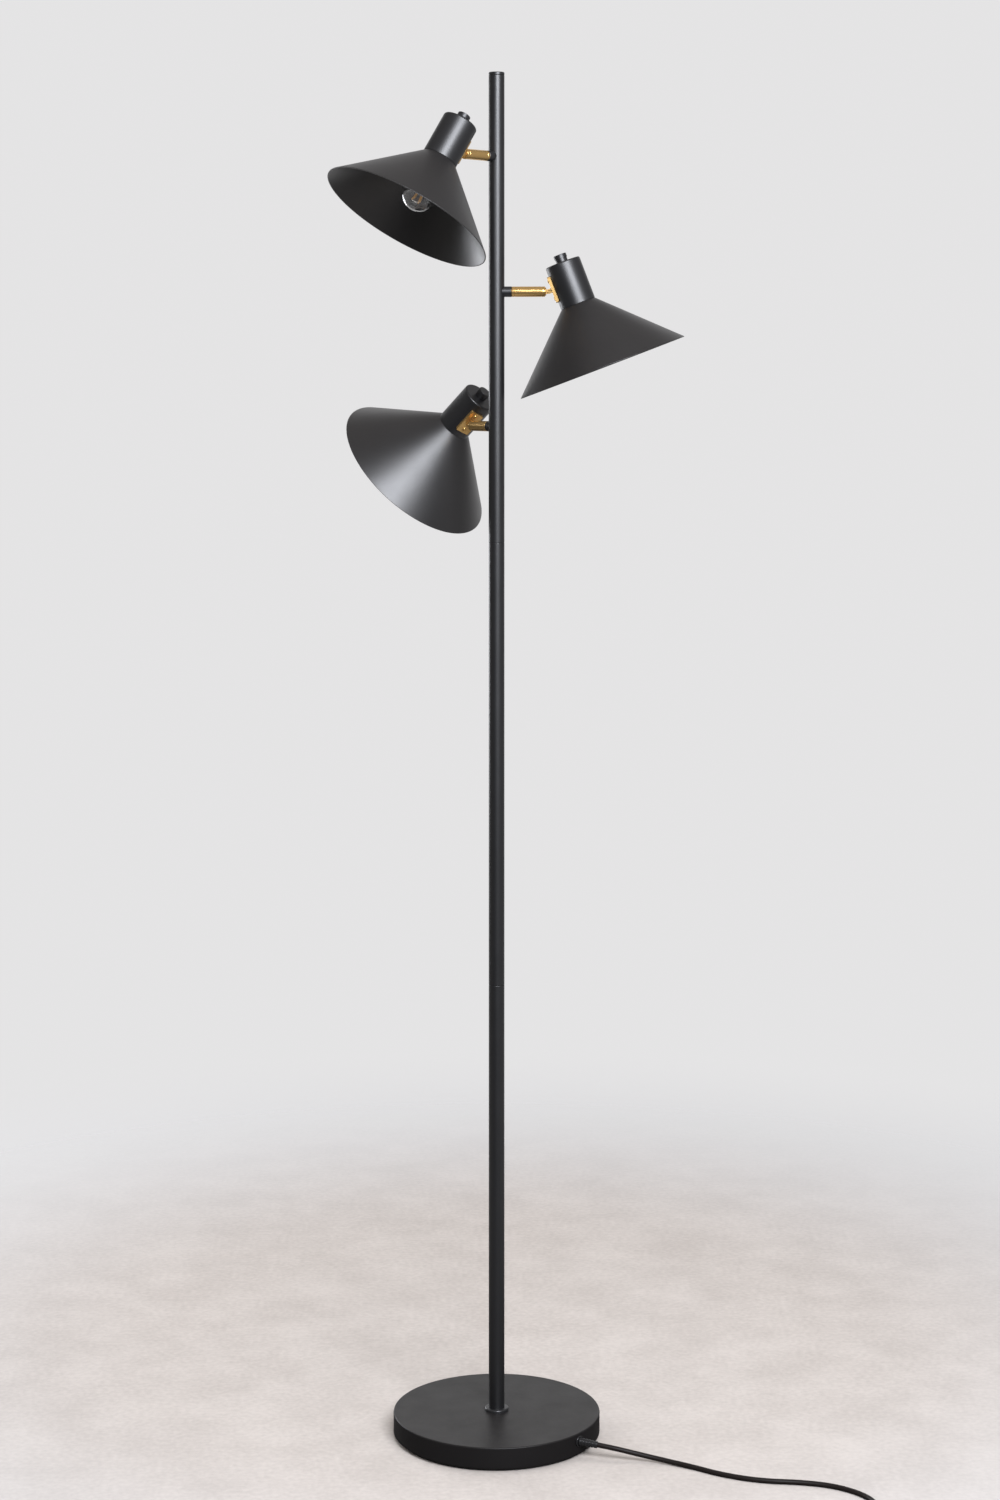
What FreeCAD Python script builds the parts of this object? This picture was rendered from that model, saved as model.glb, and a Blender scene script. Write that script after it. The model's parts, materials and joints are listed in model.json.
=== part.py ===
import FreeCAD, Part
import math
import os

# Floor lamp with three spun cone shades on short swivelling arms.
# Frame: millimetres, +Z up, pole axis on x = y = 0, floor at z = 0, the viewer on the -Y side.

os.makedirs("parts", exist_ok=True)

V = FreeCAD.Vector
X_AXIS, Y_AXIS, Z_AXIS = V(1, 0, 0), V(0, 1, 0), V(0, 0, 1)

# ---------------------------------------------------------------- driving dimensions
# Fits
fit_gap = 0.1            # radial play of a fixed slip fit or a thread
running_gap = 0.05       # radial play of a turning fit
side_gap = 0.3           # play between faces that move past each other

# Base
cover_r = 125.0          # outer radius of the spun cover
cover_height = 24.0      # height of its wall
cover_wall = 1.2
cover_edge_r = 1.5       # rounding of its upper edge
foot_setback = 6.0       # pad and weight's foot stand back from the cover's wall
pad_thickness = 3.0
weight_step = 2.0        # height of the weight's narrow foot, which shows as a shadow line
weight_height = 14.0     # thickness of the weight's main disc
weight_rim_gap = 0.5
weight_boss_r = 30.0
cable_slot_width = 8.0
cable_slot_height = 6.0   # channel under the weight for the cable
cable_bay_length = 24.0   # open bay behind the gland, where the cable rises
cable_rise_setback = 3.0  # from the gland's inner end back to the cable's elbow

# Threaded rod that holds base and pole together
rod_r = 5.0
rod_bore_r = 3.75
rod_grip = 18.0          # length screwed into the foot of the pole
nut_across_flats = 17.0
nut_height = 5.0
washer_r = 12.0
washer_thickness = 1.5
washer_room = 1.0
rod_tail = 1.5           # thread that shows below the nut

# Pole
pole_r = 9.5
pole_wall = 1.2
pole_lower_length = 519.0
pole_middle_length = 535.0
pole_upper_length = 561.5
pole_foot_plug = 20.0    # height of the threaded plug in the pole's foot
seam_edge_r = 0.6         # rounding of each tube's ends
coupler_length = 50.0
coupler_wall = 2.2
collar_r = 14.5
collar_height = 3.5
collar_edge_r = 1.6
cap_height = 3.5
cap_bevel = 0.8
cap_plug_length = 9.0
flex_r = 2.5             # three-core cable inside the pole
core_r = 1.6             # pair of cores that branches into each arm

# Arms
top_arm_drop = 97.5      # from the end of the tube down to the top arm
arm_spacing = 162.0
arm_azimuths = (-131.0, -4.0, 121.0)
nipple_r = 6.35
nipple_length = 9.0      # black spacer that shows between pole and brass tube
nipple_thread_r = 4.9
nipple_thread_length = 11.0
nipple_inner_r = 4.0     # spigot through the wall of the pole
nipple_inner_length = 3.0
nipple_bore_r = 2.4
nipple_edge = 0.6
arm_tube_r = 6.25
arm_tube_length = 40.0
arm_tube_bore_r = 5.0
arm_neck_length = 6.0
arm_edge = 0.9

# Swivel and knuckle
stem_r = 4.1
stem_flare_r = 4.8
stem_flare_length = 4.0
stem_bore_r = 1.5
stem_flange_r = 5.0
stem_flange_thickness = 0.8
pivot_gap = 0.3          # from the stem's flange to the eye of the knuckle
eye_r = 2.7
tongue_thickness = 3.8
ear_thickness = 1.8
pin_r = 1.5
pin_head_r = 2.2
pin_head_height = 0.8
plate_offset = 4.35      # from pivot to the outer face of the bracket plate
plate_middle = 2.0       # plate thickness on its centre line
plate_length = 32.5
plate_width = 17.0
plate_corner_r = 1.2
screw_spacing = 22.0
screw_r = 1.4
screw_head_r = 2.5
screw_head_height = 1.3
screw_length = 5.5

# Lamp cup, lampholder and switch
cup_r = 21.6
cup_wall = 1.5
cup_length = 53.0
cup_drop = 26.0          # from the pivot down to the lower end of the cup
cup_edge_r = 2.2
holder_r = 14.0
holder_flange_thickness = 2.0
holder_above = 24.0      # lampholder inside the cup
holder_below = 17.0      # lampholder below the cup
holder_neck_r = 4.9
holder_neck_length = 5.0
switch_r = 12.5
switch_neck_r = 5.0
switch_neck_length = 1.6
spindle_r = 3.0
spindle_length = 18.0
knob_r = 7.9
knob_height = 9.4
knob_band = 5.0          # height of the knob's wider upper part
knob_skirt_r = 7.2
knob_edge_r = 0.8
knob_recess = 2.2

# Shade
shade_neck_r = 21.0
shade_mouth_r = 105.0
shade_depth = 82.5
shade_wall = 1.0
ring_flange_r = 19.0
ring_flange_thickness = 2.0
ring_skirt_r = 16.6
ring_height = 7.0

# Globe bulb with a small screw base
globe_r = 22.5
globe_centre_drop = 48.0   # from the lower end of the cup to the middle of the globe
bulb_length = 75.0
glass_wall = 0.8
bulb_neck_r = 8.6
bulb_neck_length = 5.5
screw_base_r = 7.0
screw_base_length = 23.0
contact_r = 3.2
contact_height = 3.0
stem_glass_r = 2.4
stem_glass_length = 16.0
filament_r = 0.7
filament_length = 27.0
filament_spread = 6.0
filament_count = 4

# Rest pose of the three heads, as they stand in the photograph
swivel_rest = (-12.2, 0.6, 24.5)
tilt_rest = (29.9, 20.9, 42.1)

# Mains lead
cord_r = 3.0
gland_azimuth = -38.5
gland_z = 19.5
gland_flange_r = 6.5
gland_flange_thickness = 2.0
gland_spigot_r = 5.0
gland_spigot_length = 9.0
relief_length = 22.0
relief_root_r = 4.9
relief_tip_r = 3.9
relief_azimuth = -16.0
relief_pitch = 5.0
first_run = 20.0
coil_centre = V(480, -296, 0)
coil_outer_r = 46.0
coil_pitch = 6.6
coil_rise = 6.6
coil_turns_per_layer = 3.5
coil_quarters = 4        # biarcs in each turn
coil_sample = 2.0        # spacing of the points that its least gap is measured on
coil_own_length = 110.0  # cord this near along its length isn't another turn
steepest_climb = 1.5     # an even climb's steepest part, against its mean
plug_length = 34.0
plug_width = 34.0
plug_height = 13.6
plug_edge_r = 3.4
plug_relief_length = 20.0
plug_pin_r = 2.0
plug_pin_length = 19.0
plug_pin_spacing = 18.6

# Cord route between gland and coil, and between coil and plug, chosen by hand
lead_route = [
    V(165, -92, 10), V(196, -98, 4.8), V(231, -115, 3), V(262, -138, 3), V(306, -157, 3),
    V(356, -161.5, 3), V(396, -174.5, 3), V(429, -207, 3), V(434, -250, 3),
]
tail_route = [V(434, -326, 9.6), V(441, -349, 8), V(462, -364, 6.9), V(485, -370, 6.9)]

# ---------------------------------------------------------------- derived levels
pad_r = cover_r - foot_setback
cover_bottom = pad_thickness + weight_step
base_top = cover_bottom + cover_height
seam_low = base_top + pole_lower_length
seam_high = seam_low + pole_middle_length
pole_end = seam_high + pole_upper_length
pole_bore_r = pole_r - pole_wall
coupler_r = pole_bore_r - fit_gap
arm_heights = [pole_end - top_arm_drop - k * arm_spacing for k in range(3)]
nipple_end = pole_r + nipple_length
arm_end = nipple_end + arm_tube_length
pivot_x = arm_end + side_gap + stem_flange_thickness + pivot_gap + eye_r
cup_x = plate_offset + plate_middle + cup_r
cup_top = cup_length - cup_drop
coil_layer_z = (cord_r, cord_r + coil_rise)


# ---------------------------------------------------------------- helpers
def save(name, *solids):
    shape = solids[0] if len(solids) == 1 else Part.Compound(list(solids))
    for solid in shape.Solids:
        assert solid.isValid() and solid.Volume > 0, name
    shape.exportStep("parts/%s.step" % name)
    print(name, len(shape.Solids), round(sum(s.Volume for s in shape.Solids), 2))


def turned(*outline):
    """Solid of revolution about Z from (radius, height) corners; a triple corner is (r, z, fillet)."""
    corners = [V(c[0], 0, c[1]) for c in outline]
    fillets = [c[2] if len(c) > 2 else 0.0 for c in outline]
    edges = []
    count = len(corners)
    starts, ends = [], []
    for i, corner in enumerate(corners):
        back = (corners[i - 1] - corner).normalize()
        ahead = (corners[(i + 1) % count] - corner).normalize()
        half = back.getAngle(ahead) / 2
        reach = fillets[i] / math.tan(half) if fillets[i] else 0.0
        starts.append(corner + back * reach)
        ends.append(corner + ahead * reach)
        if fillets[i]:
            bisector = (back + ahead).normalize()
            middle = corner + bisector * (fillets[i] / math.sin(half) - fillets[i])
            edges.append(Part.Arc(starts[i], middle, ends[i]).toShape())
    for i in range(count):
        edges.append(Part.makeLine(ends[i], starts[(i + 1) % count]))
    face = Part.Face(Part.Wire(Part.__sortEdges__(edges)))
    return face.revolve(V(), Z_AXIS, 360)


def cylinder(radius, start, end):
    return Part.makeCylinder(radius, (end - start).Length, start, end - start)


def along_x(shape):
    """Turns a piece made about Z so that its axis, from foot to head, runs along +X."""
    return shape.transformed(FreeCAD.Placement(V(), FreeCAD.Rotation(Y_AXIS, 90)).Matrix)


def placed(shape, placement):
    return shape.transformed(placement.Matrix)


def box(x_range, y_range, z_range):
    size = [b - a for a, b in (x_range, y_range, z_range)]
    return Part.makeBox(*size, V(x_range[0], y_range[0], z_range[0]))


def flex(points, radius):
    """Cable through the points, with round elbows."""
    pieces = [cylinder(radius, a, b) for a, b in zip(points, points[1:])]
    pieces += [Part.makeSphere(radius, p) for p in points[1:-1]]
    return pieces[0].fuse(pieces[1:]).removeSplitter()


def direction(azimuth, pitch_down=0.0):
    a, p = math.radians(azimuth), math.radians(pitch_down)
    return V(math.cos(a) * math.cos(p), math.sin(a) * math.cos(p), -math.sin(p))


def tube_along(edges, radius, label):
    """Cord along tangent edges; its volume is compared with section times length."""
    wire = Part.Wire(edges)
    start = wire.Edges[0].valueAt(wire.Edges[0].FirstParameter)
    heading = wire.Edges[0].tangentAt(wire.Edges[0].FirstParameter)
    ring = Part.Wire(Part.makeCircle(radius, start, heading))
    tube = wire.makePipeShell([ring], True, False)
    expected = math.pi * radius ** 2 * wire.Length
    print("%s length %.1f mm, volume ratio %.5f" % (label, wire.Length, tube.Volume / expected))
    return tube


def rounded_route(points, label):
    """Straight runs joined by tangent arcs, each as large as its two runs allow."""
    edges, radii = [], []
    here = points[0]
    for a, b, c in zip(points, points[1:], points[2:]):
        back, ahead = (a - b).normalize(), (c - b).normalize()
        reach = 0.45 * min((a - b).Length, (c - b).Length)
        half = back.getAngle(ahead) / 2
        radius = reach * math.tan(half)
        middle = b + (back + ahead).normalize() * (radius / math.sin(half) - radius)
        edges.append(Part.makeLine(here, b + back * reach))
        edges.append(Part.Arc(b + back * reach, middle, b + ahead * reach).toShape())
        here = b + ahead * reach
        radii.append(radius)
    edges.append(Part.makeLine(here, points[-1]))
    print(label, "bend radii", [round(r) for r in radii])
    return edges


def arc_from(start, tangent, end):
    """Arc that leaves start along tangent and reaches end."""
    chord = end - start
    unit = V(chord).normalize()
    side = (tangent - unit * tangent.dot(unit)).normalize()
    bulge = chord.Length / 2 * math.tan(tangent.getAngle(unit) / 2)
    return Part.Arc(start, (start + end) * 0.5 + side * bulge, end).toShape()


def biarc(p0, t0, p1, t1):
    """Two arcs with a common tangent where they meet."""
    v, t = p1 - p0, t0 + t1
    curl = 2 * (1 - t0.dot(t1))
    reach = (-v.dot(t) + math.sqrt(v.dot(t) ** 2 + curl * v.dot(v))) / curl
    joint = (p0 + t0 * reach + p1 - t1 * reach) * 0.5
    first = arc_from(p0, t0, joint)
    second = arc_from(p1, t1 * -1, joint)
    return [first, second]


# ---------------------------------------------------------------- base
def base_cover():
    inner = cover_r - cover_wall
    hole = rod_r + fit_gap
    shell = turned((hole, base_top), (hole, base_top - cover_wall), (inner, base_top - cover_wall),
                   (inner, cover_bottom), (cover_r, cover_bottom), (cover_r, base_top, cover_edge_r))
    gland_hole = cylinder(gland_spigot_r + fit_gap, V(cover_r - gland_spigot_length, 0, gland_z),
                          V(cover_r + gland_flange_thickness, 0, gland_z))
    gland_hole.rotate(V(), Z_AXIS, gland_azimuth)
    return shell.cut(gland_hole)


rod_low = pad_thickness + cable_slot_height
nut_low = rod_low + rod_tail
nut_seat = nut_low + nut_height + washer_thickness
disc_r = cover_r - cover_wall - weight_rim_gap


def base_weight():
    disc_top = cover_bottom + weight_height
    boss_top = base_top - cover_wall
    hole = rod_r + fit_gap
    body = turned((hole, pad_thickness), (pad_r, pad_thickness), (pad_r, cover_bottom),
                  (disc_r, cover_bottom), (disc_r, disc_top), (weight_boss_r, disc_top),
                  (weight_boss_r, boss_top), (hole, boss_top))
    recess = cylinder(washer_r + washer_room, V(0, 0, pad_thickness), V(0, 0, nut_seat))
    half = cable_slot_width / 2
    bay_half = gland_flange_r + washer_room
    slot = box((0, disc_r), (-half, half), (pad_thickness, rod_low))
    bay = box((disc_r - cable_bay_length, cover_r), (-bay_half, bay_half), (pad_thickness, base_top))
    channel = slot.fuse(bay)
    channel.rotate(V(), Z_AXIS, gland_azimuth)
    return body.cut([recess, channel])


def floor_pad():
    return turned((0, 0), (pad_r, 0), (pad_r, pad_thickness), (0, pad_thickness))


def base_collar():
    return turned((pole_r + fit_gap, base_top), (collar_r, base_top),
                  (collar_r, base_top + collar_height, collar_edge_r),
                  (pole_r + fit_gap, base_top + collar_height))


def anchor_rod():
    ends = V(0, 0, rod_low), V(0, 0, base_top + rod_grip)
    return cylinder(rod_r, *ends).cut(cylinder(rod_bore_r, *ends))


def anchor_nut():
    corner_r = nut_across_flats / math.sqrt(3)
    corners = [V(corner_r, 0, nut_low)]
    for k in range(1, 7):
        a = math.radians(60 * k)
        corners.append(V(corner_r * math.cos(a), corner_r * math.sin(a), nut_low))
    return Part.Face(Part.makePolygon(corners)).extrude(V(0, 0, nut_height)).cut(
        cylinder(rod_r + fit_gap, V(0, 0, nut_low), V(0, 0, nut_low + nut_height)))


def anchor_washer():
    low = nut_low + nut_height
    return turned((rod_r + fit_gap, low), (washer_r, low), (washer_r, nut_seat), (rod_r + fit_gap, nut_seat))


# ---------------------------------------------------------------- pole
def pole_tube(low, high):
    return turned((pole_bore_r, low), (pole_r, low, seam_edge_r), (pole_r, high, seam_edge_r),
                  (pole_bore_r, high))


def pole_lower():
    plug = turned((rod_r + fit_gap, base_top), (pole_bore_r, base_top),
                  (pole_bore_r, base_top + pole_foot_plug), (rod_r + fit_gap, base_top + pole_foot_plug))
    return pole_tube(base_top, seam_low).fuse(plug).removeSplitter()


def pole_upper():
    holes = []
    for azimuth, height in zip(arm_azimuths, arm_heights):
        centre = V(0, 0, height)
        holes.append(cylinder(nipple_inner_r + fit_gap, centre, centre + direction(azimuth) * nipple_end))
    return pole_tube(seam_high, pole_end).cut(holes)


def pole_coupler(seam):
    low, high = seam - coupler_length / 2, seam + coupler_length / 2
    bore = coupler_r - coupler_wall
    return turned((bore, low), (coupler_r, low), (coupler_r, high), (bore, high))


def pole_cap():
    top = pole_end + cap_height
    plug_low = pole_end - cap_plug_length
    return turned((0, plug_low), (coupler_r, plug_low), (coupler_r, pole_end),
                  (pole_r, pole_end, seam_edge_r), (pole_r, top - cap_bevel), (pole_r - cap_bevel, top),
                  (0, top))


def pole_wiring():
    out = direction(gland_azimuth)
    elbow = rod_low - cable_slot_height / 2
    bay_in = out * (disc_r - cable_bay_length / 2) + Z_AXIS * elbow
    gland_in = out * (cover_r - gland_spigot_length) + Z_AXIS * gland_z
    rise = gland_in - out * cable_rise_setback
    trunk = flex([V(0, 0, arm_heights[0]), V(0, 0, elbow), bay_in, rise, gland_in], flex_r)
    branches = []
    for azimuth, height in zip(arm_azimuths, arm_heights):
        centre = V(0, 0, height)
        reach = arm_end - arm_neck_length - stem_flare_length - 2 * side_gap
        branches.append(cylinder(core_r, centre, centre + direction(azimuth) * reach))
    trunk = trunk.fuse(Part.makeSphere(flex_r, V(0, 0, arm_heights[0])))
    return trunk.fuse(branches).removeSplitter()


# ---------------------------------------------------------------- arms, made along +X from the pole axis
def arm_nipple():
    low = pole_r - nipple_inner_length
    collar = turned((0, low), (nipple_r, low), (nipple_r, nipple_end - nipple_edge),
                    (nipple_r - nipple_edge, nipple_end), (0, nipple_end))
    collar = along_x(collar).cut(cylinder(pole_r + running_gap, V(0, 0, -cover_r), V(0, 0, cover_r)))
    spigot_low = pole_bore_r - nipple_inner_length
    thread_high = nipple_end + nipple_thread_length
    spigot = cylinder(nipple_inner_r, V(spigot_low, 0, 0), V(nipple_end, 0, 0))
    thread = cylinder(nipple_thread_r, V(nipple_end, 0, 0), V(thread_high, 0, 0))
    bore = cylinder(nipple_bore_r, V(0, 0, 0), V(thread_high, 0, 0))
    return collar.fuse([spigot, thread]).removeSplitter().cut(bore)


def arm_tube():
    bore, neck = arm_tube_bore_r, stem_r + running_gap
    neck_low = arm_end - arm_neck_length
    tube = turned((bore, nipple_end), (arm_tube_r, nipple_end), (arm_tube_r, arm_end - arm_edge),
                  (arm_tube_r - arm_edge, arm_end), (neck, arm_end), (neck, neck_low), (bore, neck_low))
    return along_x(tube)


def swivel_stem():
    neck_low = arm_end - arm_neck_length
    flare_high = neck_low - side_gap
    flare_low = flare_high - stem_flare_length
    flange_low = arm_end + side_gap
    flange_high = flange_low + stem_flange_thickness
    stem = turned((stem_bore_r, flare_low), (stem_flare_r, flare_low), (stem_flare_r, flare_high),
                  (stem_r, flare_high), (stem_r, flange_low), (stem_flange_r, flange_low),
                  (stem_flange_r, flange_high), (0, flange_high), (0, arm_end), (stem_bore_r, arm_end))
    half = tongue_thickness / 2
    tongue = box((flange_high, pivot_x), (-half, half), (-eye_r, eye_r))
    eye = cylinder(eye_r, V(pivot_x, -half, 0), V(pivot_x, half, 0))
    hole = cylinder(pin_r + running_gap, V(pivot_x, -half, 0), V(pivot_x, half, 0))
    return along_x(stem).fuse([tongue, eye]).removeSplitter().cut(hole)


# ---------------------------------------------------------------- head, made about the knuckle's pivot:
# +X points from the pivot to the cup, +Z from the shade to the knob, +Y along the knuckle's pin
cup_low = -cup_drop
ear_in = tongue_thickness / 2 + side_gap
ear_out = ear_in + ear_thickness
screw_heights = (-screw_spacing / 2, screw_spacing / 2)
holder_low = cup_low - holder_below
holder_top = cup_low + holder_above
knob_low = cup_top + side_gap
spindle_top = knob_low + knob_height - knob_recess
globe_z = cup_low - globe_centre_drop
bulb_tip = globe_z - globe_r + bulb_length
screw_base_low = bulb_tip - screw_base_length


def on_cup(shape):
    """Moves a piece made about Z onto the axis of the lamp cup."""
    return shape.translated(V(cup_x, 0, 0))


def screw_holes():
    reach = V(plate_offset + screw_length, 0, 0)
    return [cylinder(screw_r + fit_gap, Z_AXIS * z, reach + Z_AXIS * z) for z in screw_heights]


def runs_along_x(edge):
    return abs(edge.tangentAt(edge.FirstParameter).x) > 0.99


def knuckle_bracket():
    bulge = cup_r - math.sqrt(cup_r ** 2 - (plate_width / 2) ** 2)
    plate = box((plate_offset, plate_offset + plate_middle + bulge),
                (-plate_width / 2, plate_width / 2), (-plate_length / 2, plate_length / 2))
    plate = plate.makeFillet(plate_corner_r, [e for e in plate.Edges if runs_along_x(e)])
    seat = on_cup(cylinder(cup_r + running_gap, Z_AXIS * -plate_length, Z_AXIS * plate_length))
    ears = []
    for side in (-1, 1):
        near, far = sorted((side * ear_in, side * ear_out))
        ears.append(box((0, plate_offset + plate_middle / 2), (near, far), (-eye_r, eye_r)))
        ears.append(cylinder(eye_r, V(0, near, 0), V(0, far, 0)))
    hole = cylinder(pin_r + running_gap, V(0, -ear_out, 0), V(0, ear_out, 0))
    return plate.cut(seat).fuse(ears).removeSplitter().cut([hole] + screw_holes())


def knuckle_pin():
    shank = cylinder(pin_r, V(0, -ear_out, 0), V(0, ear_out, 0))
    heads = []
    for side in (-1, 1):
        seat = Y_AXIS * (side * ear_out)
        heads.append(cylinder(pin_head_r, seat, seat + Y_AXIS * (side * pin_head_height)))
    return shank.fuse(heads).removeSplitter()


def bracket_screw(height):
    head_low = plate_offset - screw_head_height
    tip = plate_offset + screw_length
    screw = turned((0, head_low), (screw_head_r, head_low, screw_head_height / 2),
                   (screw_head_r, plate_offset), (screw_r, plate_offset), (screw_r, tip), (0, tip))
    return along_x(screw).translated(Z_AXIS * height)


def lamp_cup():
    inner, ceiling = cup_r - cup_wall, cup_top - cup_wall
    hole = switch_neck_r + fit_gap
    cup = turned((hole, cup_top), (hole, ceiling), (inner, ceiling), (inner, cup_low), (cup_r, cup_low),
                 (cup_r, cup_top, cup_edge_r))
    return on_cup(cup).cut(screw_holes())


def shade():
    slant = math.hypot(shade_mouth_r - shade_neck_r, shade_depth)
    wall_across = shade_wall * slant / shade_depth
    slope = (shade_mouth_r - shade_neck_r) / shade_depth
    hole = holder_r + fit_gap
    ceiling = cup_low - shade_wall
    mouth = cup_low - shade_depth
    return on_cup(turned((hole, cup_low), (shade_neck_r, cup_low), (shade_mouth_r, mouth),
                         (shade_mouth_r - wall_across, mouth),
                         (shade_neck_r + slope * shade_wall - wall_across, ceiling), (hole, ceiling)))


def shade_ring():
    top = cup_low - shade_wall
    bore = holder_r + fit_gap
    flange_low = top - ring_flange_thickness
    return on_cup(turned((bore, top), (ring_flange_r, top), (ring_flange_r, flange_low),
                         (ring_skirt_r, flange_low), (ring_skirt_r, top - ring_height),
                         (bore, top - ring_height)))


def lampholder():
    flange_r = cup_r - cup_wall - fit_gap
    socket = screw_base_r + fit_gap
    socket_top = bulb_tip + side_gap
    neck_top = holder_top + holder_neck_length
    return on_cup(turned((0, neck_top), (holder_neck_r, neck_top), (holder_neck_r, holder_top),
                         (holder_r, holder_top), (holder_r, cup_low + holder_flange_thickness),
                         (flange_r, cup_low + holder_flange_thickness), (flange_r, cup_low),
                         (holder_r, cup_low), (holder_r, holder_low), (socket, holder_low),
                         (socket, socket_top), (0, socket_top)))


def switch_body():
    ceiling = cup_top - cup_wall
    neck_top = cup_top + switch_neck_length
    bore = spindle_r + running_gap
    bore_low = spindle_top - spindle_length - side_gap
    socket_r = holder_neck_r + fit_gap
    socket_top = holder_top + holder_neck_length + side_gap
    return on_cup(turned((bore, bore_low), (bore, neck_top), (switch_neck_r, neck_top),
                         (switch_neck_r, ceiling), (switch_r, ceiling), (switch_r, holder_top),
                         (socket_r, holder_top), (socket_r, socket_top), (0, socket_top), (0, bore_low)))


def knob_cap():
    top = knob_low + knob_height
    recess_r = switch_neck_r + side_gap
    recess_top = cup_top + switch_neck_length + side_gap
    hole = spindle_r + fit_gap
    return on_cup(turned((recess_r, knob_low), (knob_skirt_r, knob_low), (knob_skirt_r, top - knob_band),
                         (knob_r, top - knob_band), (knob_r, top, knob_edge_r), (0, top), (0, spindle_top),
                         (hole, spindle_top), (hole, recess_top), (recess_r, recess_top)))


def knob_spindle():
    return on_cup(cylinder(spindle_r, Z_AXIS * (spindle_top - spindle_length), Z_AXIS * spindle_top))


def bulb_envelope(inset):
    """The bulb's outer form, or its hollow when inset by the thickness of the glass."""
    radius, neck, foot = globe_r - inset, bulb_neck_r - inset, screw_base_r - fit_gap - inset
    neck_z = screw_base_low - bulb_neck_length
    above = neck_z - globe_z
    start = math.atan2(neck, above) + math.acos(radius / math.hypot(neck, above))
    on_globe = [V(radius * math.sin(a), 0, globe_z + radius * math.cos(a))
                for a in (start, (start + math.pi) / 2, math.pi)]
    edges = [Part.makeLine(V(0, 0, screw_base_low), V(foot, 0, screw_base_low)),
             Part.makeLine(V(foot, 0, screw_base_low), V(neck, 0, neck_z)),
             Part.makeLine(V(neck, 0, neck_z), on_globe[0]),
             Part.Arc(*on_globe).toShape(),
             Part.makeLine(on_globe[2], V(0, 0, screw_base_low))]
    return Part.Face(Part.Wire(edges)).revolve(V(), Z_AXIS, 360)


def bulb_glass():
    return on_cup(bulb_envelope(0).cut(bulb_envelope(glass_wall)))


def bulb_base():
    shoulder = bulb_tip - contact_height
    return on_cup(turned((0, bulb_tip), (contact_r, bulb_tip), (screw_base_r, shoulder),
                         (screw_base_r, screw_base_low), (0, screw_base_low)))


def bulb_filament():
    stem_low = screw_base_low - stem_glass_length
    stem = cylinder(stem_glass_r, Z_AXIS * screw_base_low, Z_AXIS * stem_low)
    sticks = []
    for k in range(filament_count):
        out = direction(45 + 360 / filament_count * k)
        top = out * (stem_glass_r / 2) + Z_AXIS * (stem_low + stem_glass_r)
        sticks.append(cylinder(filament_r, top, out * filament_spread + Z_AXIS * (top.z - filament_length)))
    return on_cup(stem.fuse(sticks).removeSplitter())


# ---------------------------------------------------------------- mains lead
gland = direction(gland_azimuth) * cover_r + Z_AXIS * gland_z
relief_way = direction(relief_azimuth, relief_pitch)
relief_root = gland + direction(gland_azimuth) * (gland_flange_thickness / 2)
relief_tip = relief_root + relief_way * relief_length
coil_start = coil_centre + V(-coil_outer_r, 2 * cord_r, coil_layer_z[0])
coil_finish = coil_centre + V(-coil_outer_r, -2 * cord_r, coil_layer_z[1])


def cord_bushing():
    out = direction(gland_azimuth)
    spigot = cylinder(gland_spigot_r, gland - out * gland_spigot_length, gland)
    flange = cylinder(gland_flange_r, gland, gland + out * gland_flange_thickness)
    relief = Part.makeCone(relief_root_r, relief_tip_r, relief_length, relief_root, relief_way)
    return flange.fuse([spigot, relief]).removeSplitter()


def cord_lead():
    points = [relief_tip, relief_tip + relief_way * first_run] + lead_route + [coil_start]
    return tube_along(rounded_route(points, "lead"), cord_r, "lead")


def cord_tail():
    return tube_along(rounded_route([coil_finish] + tail_route, "tail"), cord_r, "tail")


def coil_node(turn):
    """Place and heading of the coiled cord, after so many turns from where it enters."""
    left = coil_turns_per_layer - turn
    radius = coil_outer_r - coil_pitch * (coil_turns_per_layer - abs(left))
    at_end = turn in (0, 2 * coil_turns_per_layer)
    inward = 0 if at_end or left == 0 else -math.copysign(coil_pitch / (2 * math.pi), left)
    climb = steepest_climb * coil_rise / math.pi if left == 0 else 0
    z = (coil_layer_z[0] + coil_layer_z[1]) / 2 if left == 0 else coil_layer_z[0 if left > 0 else 1]
    angle = math.pi + 2 * math.pi * turn
    out, on = V(math.cos(angle), math.sin(angle), 0), V(-math.sin(angle), math.cos(angle), 0)
    place = coil_centre + out * radius + Z_AXIS * z
    return place, (out * inward + on * radius + Z_AXIS * climb).normalize()


def cord_coil():
    steps = int(2 * coil_quarters * coil_turns_per_layer)
    nodes = [coil_node(k / coil_quarters) for k in range(steps + 1)]
    edges = [Part.makeLine(coil_start, nodes[0][0])]
    for (p0, t0), (p1, t1) in zip(nodes, nodes[1:]):
        edges += biarc(p0, t0, p1, t1)
    edges.append(Part.makeLine(nodes[-1][0], coil_finish))
    samples = [p for e in edges for p in e.discretize(Distance=coil_sample)]
    away = int(coil_own_length / coil_sample)
    least = min(p.distanceToPoint(q) for i, p in enumerate(samples) for q in samples[i + away:])
    print("coil least gap %.2f mm" % (least - 2 * cord_r))
    return tube_along(edges, cord_r, "coil")


plug_way = (tail_route[-1] - tail_route[-2]).normalize()
plug_frame = FreeCAD.Placement(tail_route[-1], FreeCAD.Rotation(plug_way, V(), Z_AXIS, "XZY"))


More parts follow.
